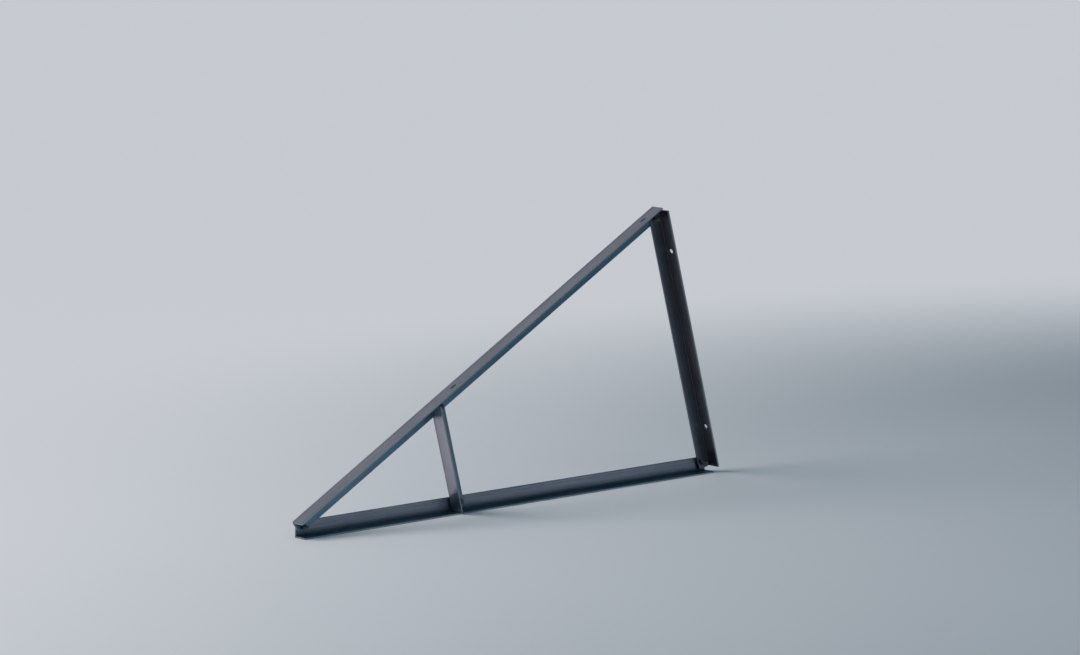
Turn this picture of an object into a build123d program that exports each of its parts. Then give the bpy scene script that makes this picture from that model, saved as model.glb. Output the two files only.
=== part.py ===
from build123d import *
import math
import os

# Solar ballast mount: a bolted triangle of equal angle. A module rests on the inclined rail, and ballast
# laid on the flat flange of the bottom rail holds the frame down.
#
# Lengths are in millimetres and angles in degrees. While the frame is put together, X runs along the
# bottom rail from toe to heel, Z is up, and Y = 0 is the back face of the bottom rail. Every profile has
# one flange in the plane of the triangle and one that stands out towards -Y along its outer edge.

# Angle profile of the rails, the leg and the brace
flange = 40.0  # outer width of each flange
wall = 4.0
root_radius = 1.0  # in the inside corner
toe_radius = 1.0  # on the inner edge of each flange

# Triangle
tilt = 30.0  # of the inclined rail
rail_bolts = 1344.0  # between the end bolts of either rail
edge_distance = 13.0  # joint bolt to the free edge of a flange
end_gap = 1.5  # end of a profile to the root fillet of the rail it meets
brace_foot = 498.0  # toe bolt to the brace's bolt in the bottom rail
brace_head = 503.0  # toe bolt to the brace's bolt in the inclined rail

# Holes and slots in the flanges that stand out, for what is fixed to the frame
hole_line = 21.0  # from the back of the profile
anchor_hole = 13.0
anchor_inset = 115.0  # from each end of the bottom rail
leg_hole = 13.0
leg_hole_inset = 115.0  # from each end of the leg
slot_width = 9.0
slot_length = 18.0
upper_slot = 60.0  # from the upper end of the inclined rail
slot_pitch = 748.0

# Joint bolts
bolt_diameter = 8.0
bolt_play = 0.5  # round a bolt in its hole
head_width = 13.0  # across flats, as the nut
head_height = 5.3
nut_height = 6.5
thread_gap = 0.05  # round a bolt in its nut
corner_chamfer = 0.9  # on the hexagons
tip_chamfer = 1.0
bolt_lengths = {"toe": 30.0, "heel": 35.0, "apex": 30.0, "brace_foot": 25.0, "brace_head": 20.0}
washer_diameter = 16.0
washer_height = 1.6
washer_play = 0.2
spacer_diameter = 18.0

gauge = flange - edge_distance  # outer corner of a profile to its line of joint bolts
bolt_hole = bolt_diameter + 2 * bolt_play


def direction(angle):
    """Unit vector in the plane of the triangle, turned up from +X by the angle."""
    return Vector(math.cos(math.radians(angle)), 0, math.sin(math.radians(angle)))


def inward(along):
    """Direction from the outer corner of a profile to the free edge of its flange in the triangle."""
    return along.cross(Vector(0, 1, 0))


def end_margin(along, rail_along):
    """Length from the end bolt of a profile to its square end, where it meets a rail.

    The nearer corner of the end stops short of the rail's root fillet by the end gap.
    """
    outward = -inward(rail_along)
    across = inward(along).dot(outward)
    corner = max(-gauge * across, edge_distance * across)
    return (gauge - wall - root_radius - end_gap - corner) / abs(along.dot(outward))


def angle_profile(length):
    """Equal angle along +X: one flange stands up at the back, the other lies towards -Y."""
    section = make_face(
        Polyline(
            (0, 0), (0, flange), (-wall, flange), (-wall, wall), (-flange, wall), (-flange, 0), close=True
        )
    )
    root = section.vertices().sort_by_distance((-wall, wall))[0]
    section = fillet(root, root_radius)
    toes = [section.vertices().sort_by_distance(point)[0] for point in ((-wall, flange), (-flange, wall))]
    section = fillet(toes, toe_radius)
    return extrude(Plane.YZ * section, length)


def joint_holes(places):
    """Drills along Y on the bolt line, one at each place along the profile."""
    drill = Rot(90, 0, 0) * Cylinder(bolt_hole / 2, 4 * wall)
    return [Pos(place, 0, gauge) * drill for place in places]


def outer_holes(places, diameter):
    """Drills through the flange that stands out, one at each place along the profile."""
    drill = Cylinder(diameter / 2, 4 * wall)
    return [Pos(place, -hole_line, 0) * drill for place in places]


def outer_slots(places):
    """Slots through the flange that stands out, lengthwise, one at each place along the profile."""
    cutter = extrude(SlotOverall(slot_length, slot_width), 2 * wall, both=True)
    return [Pos(place, -hole_line, 0) * cutter for place in places]


def place_profile(profile, along, bolt, bolt_place, layer):
    """Moves a profile so that it runs along the given direction and its bolt place meets the bolt.

    The layer counts walls in front of the bottom rail.
    """
    corner = bolt - along * bolt_place - inward(along) * gauge - Vector(0, layer * wall, 0)
    return Plane(origin=corner, x_dir=along, z_dir=inward(along)).location * profile


def hexagon(height):
    """Hexagon along +Z from Z = 0, with the corners of its upper end turned down."""
    corner_radius = head_width / 2 / math.cos(math.radians(30))
    prism = extrude(RegularPolygon(corner_radius, 6), height)
    turned = Pos(0, 0, height / 2) * Cylinder(corner_radius, height)
    return prism & chamfer(turned.edges().sort_by(Axis.Z)[-1], corner_chamfer / 2, corner_chamfer)


def bolt(length):
    """Hexagon bolt along +Z: the head ends at Z = 0 and the shank runs up from there."""
    shank = Pos(0, 0, length / 2) * Cylinder(bolt_diameter / 2, length)
    shank = chamfer(shank.edges().sort_by(Axis.Z)[-1], tip_chamfer)
    return Rot(180, 0, 0) * hexagon(head_height) + shank


def nut():
    """Hexagon nut along +Z from Z = 0."""
    return hexagon(nut_height) - Cylinder(bolt_diameter / 2 + thread_gap, 4 * nut_height)


def ring(diameter, bore, height):
    """Washer or spacer along +Z from Z = 0."""
    disc = Cylinder(diameter / 2, height) - Cylinder(bore / 2, height)
    return Pos(0, 0, height / 2) * disc


def joint(name, point, back_layer, spaced):
    """Bolt from behind with a washer and nut in front, and a spacer if asked.

    The head rests on the back of the given layer. A spaced joint fills the layer between the bottom rail
    and the profile in front with a spacer.
    """
    layers = 3 if spaced else 2
    pieces = {
        "bolt": (bolt(bolt_lengths[name]), 0),
        "washer": (ring(washer_diameter, bolt_diameter + 2 * washer_play, washer_height), layers * wall),
        "nut": (nut(), layers * wall + washer_height),
    }
    if spaced:
        pieces["spacer"] = (ring(spacer_diameter, bolt_hole, wall), wall)
    axis = Plane(origin=point - Vector(0, back_layer * wall, 0), x_dir=(1, 0, 0), z_dir=(0, -1, 0)).location
    return {f"{name}_{kind}": axis * Pos(0, 0, place) * piece for kind, (piece, place) in pieces.items()}


# Layout of the triangle: the rails run toe to heel and apex to toe, the leg heel to apex, and the brace
# from its head down to its foot. The bottom rail is layer 0, the inclined rail lies in front of it as
# layer 1, and the leg and the brace lie in front of both as layer 2.
bottom_along = direction(0)
inclined_along = -direction(tilt)
rail_end = end_margin(inclined_along, bottom_along)
rail_length = rail_bolts + 2 * rail_end

toe = Vector(rail_end, 0, gauge)
heel = toe + bottom_along * rail_bolts
apex = toe - inclined_along * rail_bolts
foot = toe + bottom_along * brace_foot
head = toe - inclined_along * brace_head

leg_along = (apex - heel).normalized()
leg_foot_end = end_margin(leg_along, bottom_along)
leg_head_end = end_margin(leg_along, inclined_along)
leg_bolts = (apex - heel).length
leg_length = leg_foot_end + leg_bolts + leg_head_end

brace_along = (foot - head).normalized()
brace_foot_end = end_margin(brace_along, bottom_along)
brace_head_end = end_margin(brace_along, inclined_along)
brace_bolts = (foot - head).length
brace_length = brace_head_end + brace_bolts + brace_foot_end

bottom_rail = angle_profile(rail_length)
bottom_rail -= joint_holes([rail_end, rail_end + brace_foot, rail_length - rail_end])
bottom_rail -= outer_holes([anchor_inset, rail_length - anchor_inset], anchor_hole)

inclined_rail = angle_profile(rail_length)
inclined_rail -= joint_holes([rail_end, rail_length - rail_end - brace_head, rail_length - rail_end])
inclined_rail -= outer_slots([upper_slot, upper_slot + slot_pitch])

rear_leg = angle_profile(leg_length)
rear_leg -= joint_holes([leg_foot_end, leg_foot_end + leg_bolts])
rear_leg -= outer_holes([leg_hole_inset, leg_length - leg_hole_inset], leg_hole)

mid_brace = angle_profile(brace_length)
mid_brace -= joint_holes([brace_head_end, brace_head_end + brace_bolts])

nodes = {
    "bottom_rail": place_profile(bottom_rail, bottom_along, toe, rail_end, 0),
    "inclined_rail": place_profile(inclined_rail, inclined_along, apex, rail_end, 1),
    "rear_leg": place_profile(rear_leg, leg_along, heel, leg_foot_end, 2),
    "mid_brace": place_profile(mid_brace, brace_along, head, brace_head_end, 2),
}
nodes |= joint("toe", toe, 0, spaced=False)
nodes |= joint("heel", heel, 0, spaced=True)
nodes |= joint("apex", apex, 1, spaced=False)
nodes |= joint("brace_foot", foot, 0, spaced=True)
nodes |= joint("brace_head", head, 1, spaced=False)

# The origin of the finished mount is on the ground, under the middle of the frame.
extent = Compound(list(nodes.values())).bounding_box()
to_origin = Pos(-extent.center().X, -extent.center().Y, -extent.min.Z)

os.makedirs("parts", exist_ok=True)
for node, solid in nodes.items():
    export_step(to_origin * solid, f"parts/{node}.step")
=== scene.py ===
import bmesh
import bpy
import math
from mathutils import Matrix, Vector


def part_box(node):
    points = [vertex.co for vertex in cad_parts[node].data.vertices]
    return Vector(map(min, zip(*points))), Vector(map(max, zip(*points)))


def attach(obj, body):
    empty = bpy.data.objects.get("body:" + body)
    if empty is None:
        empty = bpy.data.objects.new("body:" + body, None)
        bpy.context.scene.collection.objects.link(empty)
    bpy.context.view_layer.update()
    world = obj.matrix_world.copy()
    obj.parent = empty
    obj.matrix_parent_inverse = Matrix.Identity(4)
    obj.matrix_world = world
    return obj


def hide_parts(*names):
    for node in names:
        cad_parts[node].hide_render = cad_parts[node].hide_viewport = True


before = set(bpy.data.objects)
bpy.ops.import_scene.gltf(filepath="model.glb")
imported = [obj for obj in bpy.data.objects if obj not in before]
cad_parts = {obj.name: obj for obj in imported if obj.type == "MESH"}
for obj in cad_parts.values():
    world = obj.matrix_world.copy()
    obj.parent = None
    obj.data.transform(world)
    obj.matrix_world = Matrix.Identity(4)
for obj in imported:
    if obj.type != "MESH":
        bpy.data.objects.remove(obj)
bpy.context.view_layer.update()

# Rails, leg and brace: equal angle, extruded from aluminium alloy and left bare. Each length was
# sawn square and drilled, so its faces are smooth and dark with fine die lines that run lengthwise,
# and its sawn ends and rubbed edges are paler. Light and shade are painted into the colour as well:
# a painted highlight on the front edge of each flange that stands out, painted shade near the
# bottom and in the inside corner, and lit and shaded copies of the alloy on the two flanges.

angle_flange = 0.040
angle_wall = 0.004
angle_edge = 0.0004
alloy_dark = (0.19, 0.192, 0.222)
alloy_light = (0.31, 0.315, 0.352)
sawn_alloy = (0.50, 0.51, 0.54, 1.0)
# Painted highlight: the pale blue-green of the front edge of each flange that stands out.
edge_highlight_colour = (0.46, 0.58, 0.64, 1.0)
rubbed_dark = (0.26, 0.265, 0.29, 1.0)
rubbed_light = (0.50, 0.505, 0.53, 1.0)
# Painted shade near the bottom of each profile.
bottom_shade_colour = (0.15, 0.145, 0.145, 1.0)
# Painted shade in the inside corner of each profile.
root_shade_colour = (0.09, 0.09, 0.095, 1.0)


class Field:
    """A number that varies over a surface. Arithmetic on it adds the Math nodes."""

    def __init__(self, finish, socket):
        self.finish = finish
        self.socket = socket

    def math(self, operation, *others):
        inputs = dict(enumerate((self, *others)))
        return self.finish.add("ShaderNodeMath", {"operation": operation}, inputs)

    def __add__(self, other):
        return self.math("ADD", other)

    def __mul__(self, other):
        return self.math("MULTIPLY", other)

    def __sub__(self, other):
        return self.math("SUBTRACT", other)

    def __rsub__(self, other):
        return self.finish.add("ShaderNodeMath", {"operation": "SUBTRACT"}, {0: other, 1: self})

    def __abs__(self):
        return self.math("ABSOLUTE")

    __radd__ = __add__
    __rmul__ = __mul__

    def rise(self, low, high):
        """0 below low and 1 above high, with a smooth rise between them."""
        settings = {"interpolation_type": "SMOOTHSTEP"}
        inputs = {"Value": self, "From Min": low, "From Max": high}
        return self.finish.add("ShaderNodeMapRange", settings, inputs)


class Finish:
    """A finish that is written node by node."""

    def __init__(self, name, **constants):
        self.material = bpy.data.materials.new(name)
        self.material.use_nodes = True
        self.tree = self.material.node_tree
        self.shader = self.tree.nodes["Principled BSDF"]
        self.place = self.add("ShaderNodeTexCoord", {}, {}, "Object")
        for name, value in constants.items():
            self.shader.inputs[name.replace("_", " ")].default_value = value

    def add(self, kind, settings, inputs, output=0):
        """Adds a node: its settings first, then a value or a link for each given input."""
        node = self.tree.nodes.new(kind)
        for name, value in settings.items():
            setattr(node, name, value)
        for name, value in inputs.items():
            if isinstance(value, Field):
                self.tree.links.new(value.socket, node.inputs[name])
            else:
                node.inputs[name].default_value = value
        return Field(self, node.outputs[output])

    def part(self, vector, axis):
        return self.add("ShaderNodeSeparateXYZ", {}, {"Vector": vector}, axis)

    def noise(self, place, scale, detail=3.0, roughness=0.5):
        inputs = {"Vector": place, "Scale": scale, "Detail": detail, "Roughness": roughness}
        return self.add("ShaderNodeTexNoise", {}, inputs)

    def blend(self, factor, first, second):
        """One colour where the factor is 0 and the other where it is 1."""
        inputs = {0: factor, 6: first, 7: second}
        return self.add("ShaderNodeMix", {"data_type": "RGBA"}, inputs, 2)

    def feed(self, name, value):
        self.tree.links.new(value.socket, self.shader.inputs[name])

    def relief(self, height, depth):
        """Gives the surface a fine relief, as deep as the given length."""
        inputs = {"Strength": 1.0, "Distance": depth, "Height": height}
        self.feed("Normal", self.add("ShaderNodeBump", {}, inputs))


def tinted(colour, tint):
    """A colour scaled part by part, with full alpha."""
    return tuple(part * scale for part, scale in zip(colour, tint)) + (1.0,)


def root_line(profile, lean):
    """The line of a profile's inside corner: its place along Y and its height across the lean."""
    points = [vertex.co for vertex in profile.data.vertices]
    heights = [point.z * math.cos(lean) - point.x * math.sin(lean) for point in points]
    front = min(point.y for point in points)
    flange = [height for height, point in zip(heights, points) if point.y < front + 0.001]
    above = max(heights) > max(flange) + angle_wall
    return max(point.y for point in points) - angle_wall, max(flange) if above else min(flange)


def angle_finish(name, lean, root, flange_painted_light, web_painted_light):
    """Bare extruded alloy on a profile that leans by the given angle from the horizontal.

    The tints scale the colour of the flange that stands out and of the one in the frame's plane.
    They are painted light and shade, laid into the colour of one alloy: a painted blue-green
    reflection of a cool room on the rails and brace, a painted highlight on the brace's outer
    flange and painted shade on the leg.
    """
    finish = Finish(name, Metallic=1.0)
    turn = {"rotation_type": "Y_AXIS"}
    along = finish.add("ShaderNodeVectorRotate", turn, {"Vector": finish.place, "Angle": lean})
    stretch = {"operation": "MULTIPLY"}
    drawn = finish.add("ShaderNodeVectorMath", stretch, {0: along, 1: (3.0, 420.0, 420.0)})
    hairs = finish.add("ShaderNodeVectorMath", stretch, {0: along, 1: (14.0, 1700.0, 1700.0)})
    die_lines = finish.noise(drawn, 1.0, 4.0, 0.6)
    hair_lines = finish.noise(hairs, 1.0, 2.0)
    clouds = finish.noise(finish.place, 7.0, 4.0, 0.55)
    grain = finish.noise(finish.place, 2400.0, 1.0)

    normal = finish.add("ShaderNodeNewGeometry", {}, {}, "Normal")
    facing = finish.add("ShaderNodeVectorRotate", turn, {"Vector": normal, "Angle": lean})
    sawn = abs(finish.part(facing, "X")).rise(0.93, 0.99)
    on_flange = abs(finish.part(facing, "Z")).rise(0.4, 0.8)
    saw_marks = finish.add(
        "ShaderNodeTexWave",
        {"wave_type": "BANDS", "bands_direction": "DIAGONAL"},
        {"Vector": along, "Scale": 260.0, "Distortion": 2.5, "Detail": 2.0, "Detail Scale": 3.0},
    )

    # Painted shade: darker and rougher in patches over the lowest 35 mm of each profile.
    bottom_shade = (1.0 - finish.part(finish.place, "Z").rise(0.0, 0.035)) * clouds.rise(0.42, 0.62)
    depth = finish.part(along, "Y") - root[0]
    level = finish.part(along, "Z") - root[1]
    # Painted shade along the inside corner, where the two flanges meet: darker and rougher within
    # about 9 mm of the root.
    from_root = (depth * depth + level * level).math("SQRT")
    root_shade = (1.0 - from_root.rise(0.001, 0.009)) * (0.8 + 0.2 * clouds)
    handled = finish.noise(finish.place, 23.0, 5.0, 0.65).rise(0.56, 0.74)
    # Painted highlight along the narrow front edge of the flange that stands out, stronger in
    # patches.
    tip = angle_wall - angle_flange
    edge_highlight = (1.0 - depth.rise(tip + 0.0003, tip + 0.0008)) * (0.75 + handled * 0.25)

    tone = clouds.rise(0.3, 0.72) * 0.35 + die_lines.rise(0.36, 0.66) * 0.5 + hair_lines * 0.15
    # Lit and shaded copies of the alloy, one for each flange, scaled by its painted light and
    # shade.
    sides = [
        finish.blend(tone, tinted(alloy_dark, tint), tinted(alloy_light, tint))
        for tint in (web_painted_light, flange_painted_light)
    ]
    colour = finish.blend(on_flange, *sides)
    # Over the alloy go the paler sawn ends, the painted highlight on the flange's front edge, and
    # painted shade near the bottom and in the inside corner.
    for amount, over in (
        (sawn * 0.7, sawn_alloy),
        (edge_highlight * 0.5, edge_highlight_colour),
        (bottom_shade * 0.25, bottom_shade_colour),
        (root_shade * 0.45, root_shade_colour),
    ):
        colour = finish.blend(amount, colour, over)
    finish.feed("Base Color", colour)

    rough = 0.25 + die_lines * 0.08 + hair_lines * 0.05 + handled * 0.06 + grain * 0.03
    rough = rough + bottom_shade * 0.12 + sawn * (0.12 + saw_marks * 0.1) + root_shade * 0.2
    finish.feed("Roughness", rough)
    ridges = die_lines * 0.6 + hair_lines * 0.3 + grain * 0.1
    finish.relief(ridges * (1.0 - sawn) + saw_marks * sawn, 0.000015)
    return finish.material


def rubbed_edge(name):
    """The narrow edge of a profile, where handling has rubbed the alloy pale."""
    finish = Finish(name, Metallic=1.0)
    wear = finish.noise(finish.place, 90.0, 4.0, 0.6)
    finish.feed("Base Color", finish.blend(wear, rubbed_dark, rubbed_light))
    finish.feed("Roughness", 0.24 + wear * 0.16)
    return finish.material


def dress(piece, materials, edge, edge_slot=0):
    """Puts materials on a piece and breaks its sharp edges by the given width."""
    piece.data.materials.clear()
    for material in materials:
        piece.data.materials.append(material)
    weld = piece.modifiers.new("Joined faces", "WELD")
    weld.merge_threshold = 0.00001
    bevel = piece.modifiers.new("Broken edges", "BEVEL")
    bevel.width = edge
    bevel.segments = 3
    bevel.limit_method = "ANGLE"
    bevel.angle_limit = math.radians(38)
    bevel.material = edge_slot


tilt = math.radians(30)
leg_lean = math.radians(105)
brace_low, brace_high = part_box("brace_foot_bolt"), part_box("brace_head_bolt")
brace_run = Vector(brace_high[0]) - Vector(brace_low[0])
brace_lean = math.atan2(brace_run.z, brace_run.x)
edge_material = rubbed_edge("Rubbed edge")
# Painted light and shade for each profile: a painted blue-green reflection on the darker sides of
# the rails and brace, a painted highlight on the brace's outer flange, painted shade over the leg.
for profile, lean, flange_painted_light, web_painted_light in (
    ("bottom_rail", 0.0, (0.42, 0.86, 1.05), (1.04, 1.14, 1.2)),
    ("inclined_rail", tilt, (1.0, 0.96, 0.97), (0.55, 0.93, 1.1)),
    ("rear_leg", leg_lean, (0.73, 0.7, 0.7), (0.7, 0.74, 0.76)),
    ("mid_brace", brace_lean, (1.54, 1.46, 1.46), (0.66, 0.9, 1.04)),
):
    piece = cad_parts[profile]
    root = root_line(piece, lean)
    name = profile.replace("_", " ").capitalize()
    material = angle_finish(name, lean, root, flange_painted_light, web_painted_light)
    dress(piece, [material, edge_material], angle_edge, 1)

# Nuts, washers and spacers: steel, cold formed or stamped, with a zinc plating that has dulled to
# dark grey. A washer lies under every nut, and the spacers fill the gap behind the brace and leg.

fastener_edge = 0.00015
spacer_edge = 0.0002
plating_stain = (0.08, 0.072, 0.066, 1.0)


def plated_finish(name, tint):
    """Zinc plating, a little uneven, with the given tint."""
    finish = Finish(name, Metallic=1.0)
    clouds = finish.noise(finish.place, 60.0, 4.0, 0.6)
    grain = finish.noise(finish.place, 1800.0, 2.0)
    stain = finish.noise(finish.place, 210.0, 5.0, 0.7).rise(0.55, 0.75)
    dark = tuple(0.72 * part for part in tint) + (1.0,)
    colour = finish.blend(clouds.rise(0.3, 0.7), dark, tint + (1.0,))
    finish.feed("Base Color", finish.blend(stain * 0.3, colour, plating_stain))
    finish.feed("Roughness", 0.27 + clouds * 0.1 + grain * 0.06 + stain * 0.12)
    finish.relief(clouds * 0.4 + grain * 0.6, 0.00002)
    return finish.material


nut_finish = plated_finish("Nut plating", (0.13, 0.135, 0.145))
washer_finish = plated_finish("Washer plating", (0.16, 0.165, 0.175))
spacer_finish = plated_finish("Spacer plating", (0.14, 0.142, 0.15))
joints = ("toe", "heel", "apex", "brace_foot", "brace_head")
for joint in joints:
    dress(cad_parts[f"{joint}_nut"], [nut_finish], fastener_edge)
    dress(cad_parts[f"{joint}_washer"], [washer_finish], fastener_edge)
for joint in ("heel", "brace_foot"):
    dress(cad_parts[f"{joint}_spacer"], [spacer_finish], spacer_edge)

# Bolts: M8 hexagon bolts of plated steel, with a cold-headed hexagon and a rolled thread. They go
# in from the back, so the thread shows in front of each nut.

thread_radius = 0.004
thread_pitch = 0.00125
thread_depth = 0.00068
thread_root = 0.22  # share of half the pitch that is the flat root
thread_flank = 0.62  # share of half the pitch that is a flank
head_flats = 0.013
head_depth = 0.0053
head_chamfer = 0.14  # share of the head's depth
head_top = 0.8955  # share of the corner radius that is left at the end of the head
tip_length = 0.0011
tip_slope = 0.9
steps_round = 48
steps_per_turn = 10
head_steps = 72


def thread_height(turn):
    """Height of the thread at a part of a turn, from 0 at the flat root to 1 at the flat crest."""
    part = abs((turn % 1.0) - 0.5) * 2
    return min(max((part - thread_root) / thread_flank, 0.0), 1.0)


def bolt_mesh(name, length):
    """A bolt along -Y: the underside of its head lies at Y = 0, and the thread runs to the tip."""
    shape = bmesh.new()
    rows = round(length / thread_pitch * steps_per_turn)
    rings = []
    for row in range(rows + 1):
        depth = length * row / rows
        from_tip = length - depth
        room = thread_radius - max(0.0, tip_length - from_tip) * tip_slope
        ring = []
        for step in range(steps_round):
            turn = depth / thread_pitch - step / steps_round
            radius = thread_radius - thread_depth * (1.0 - thread_height(turn))
            radius = min(radius, room)
            angle = 2 * math.pi * step / steps_round
            place = (radius * math.cos(angle), -depth, radius * math.sin(angle))
            ring.append(shape.verts.new(place))
        rings.append(ring)
    for lower, upper in zip(rings, rings[1:]):
        for step in range(steps_round):
            after = (step + 1) % steps_round
            face = shape.faces.new((lower[step], lower[after], upper[after], upper[step]))
            face.smooth = True
    shape.faces.new(rings[-1])
    shape.faces.new(list(reversed(rings[0])))

    corner = head_flats / 2 / math.cos(math.pi / 6)
    shoulder = head_depth * (1.0 - head_chamfer)
    head = []
    for depth, cut in ((0.0, 1.0), (shoulder, 1.0), (head_depth, head_top)):
        ring = []
        for step in range(head_steps):
            angle = 2 * math.pi * step / head_steps
            turned = (angle + math.pi / 6) % (math.pi / 3) - math.pi / 6
            radius = min(head_flats / 2 / math.cos(turned), corner * cut)
            place = (radius * math.sin(angle), depth, radius * math.cos(angle))
            ring.append(shape.verts.new(place))
        head.append(ring)
    for lower, upper in zip(head, head[1:]):
        for step in range(head_steps):
            after = (step + 1) % head_steps
            shape.faces.new((lower[step], lower[after], upper[after], upper[step]))
    shape.faces.new(head[-1])
    shape.faces.new(list(reversed(head[0])))
    bmesh.ops.recalc_face_normals(shape, faces=shape.faces)
    mesh = bpy.data.meshes.new(name)
    shape.to_mesh(mesh)
    shape.free()
    return mesh


bolt_finish = plated_finish("Bolt plating", (0.15, 0.155, 0.165))
for joint in joints:
    low, high = (Vector(corner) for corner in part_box(f"{joint}_bolt"))
    mesh = bolt_mesh(f"{joint}_threaded_bolt", high.y - low.y - head_depth)
    mesh.materials.append(bolt_finish)
    bolt = bpy.data.objects.new(f"{joint}_threaded_bolt", mesh)
    bolt.location = ((low.x + high.x) / 2, high.y - head_depth, (low.z + high.z) / 2)
    bpy.context.scene.collection.objects.link(bolt)
    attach(bolt, "root")
    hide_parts(f"{joint}_bolt")

# Floor: one wide pale sheet, matt and faintly uneven. Far from the frame it turns into a pale glow
# of one even tone, which stands in for a backdrop.

floor_half = 90.0
floor_dark = (0.78, 0.775, 0.79, 1.0)
floor_light = (0.82, 0.81, 0.825, 1.0)
backdrop_glow = (0.56, 0.58, 0.62, 1.0)
black = (0.0, 0.0, 0.0, 1.0)
lit_middle = (1.7, -2.7, 0.0)
lit_radius = 2.9
glow_radius = 5.6
sheet = bpy.data.meshes.new("Floor")
corners = [(x * floor_half, y * floor_half, 0) for x, y in ((-1, -1), (1, -1), (1, 1), (-1, 1))]
sheet.from_pydata(corners, [], [(0, 1, 2, 3)])
floor = bpy.data.objects.new("Floor", sheet)
floor.location.z = -0.0002
bpy.context.scene.collection.objects.link(floor)
floor_finish = Finish("Matt floor", Metallic=0.0, Emission_Strength=1.0)
unevenness = floor_finish.noise(floor_finish.place, 0.6, 3.0)
pale = floor_finish.blend(unevenness, floor_dark, floor_light)
from_middle = {0: floor_finish.place, 1: lit_middle}
reach = floor_finish.add("ShaderNodeVectorMath", {"operation": "DISTANCE"}, from_middle, "Value")
far = reach.rise(lit_radius, glow_radius)
floor_finish.feed("Base Color", floor_finish.blend(far, pale, black))
floor_finish.feed("Roughness", 0.72 + unevenness * 0.1)
floor_finish.feed("Emission Color", floor_finish.blend(far, black, backdrop_glow))
floor.data.materials.append(floor_finish.material)

# Studio: a dim cool room with a wide soft lamp high on the left, a weaker panel over the back that
# shows in the top of the inclined rail, and a small one overhead that picks out the edges.

room_colour = (0.045, 0.11, 0.15, 1.0)
world = bpy.data.worlds.new("Studio")
world.use_nodes = True
bpy.context.scene.world = world
room = world.node_tree.nodes["Background"]
room.inputs["Color"].default_value = room_colour
room.inputs["Strength"].default_value = 1.0


def soft_panel(name, place, target, side, power, colour):
    """A square flat lamp that faces the target."""
    data = bpy.data.lights.new(name, "AREA")
    data.shape = "SQUARE"
    data.size = side
    data.energy = power
    data.color = colour
    panel = bpy.data.objects.new(name, data)
    panel.location = place
    panel.rotation_euler = (Vector(place) - Vector(target)).to_track_quat("Z", "Y").to_euler()
    bpy.context.scene.collection.objects.link(panel)


warm_light = (1.0, 0.965, 0.96)
rose_light = (1.0, 0.96, 0.97)
cool_light = (0.92, 0.97, 1.0)
soft_panel("Key", (-3.6, 2.3, 4.3), (-0.9, 0.5, 0.0), 3.8, 230.0, warm_light)
soft_panel("Back panel", (1.0, 3.7, 3.6), (0.0, 0.0, 0.4), 3.2, 15.5, rose_light)
soft_panel("Overhead panel", (0.2, -1.6, 3.3), (0.0, 0.0, 0.3), 1.6, 10.0, cool_light)

# Camera: a long lens that stands low and to the left of the open side, so that the leg is farthest
# away and the flanges that stand out show along their length.

camera_data = bpy.data.cameras.new("Camera")
camera_data.sensor_width = 36.0
camera_data.lens = 123.63
camera_data.clip_end = 400.0
camera = bpy.data.objects.new("Camera", camera_data)
camera.location = (-6.0935, -7.1323, 1.8226)
camera.rotation_euler = (math.radians(81.725), 0.0, math.radians(-40.912))
bpy.context.scene.collection.objects.link(camera)
bpy.context.scene.camera = camera

bpy.context.scene.view_settings.view_transform = "Standard"
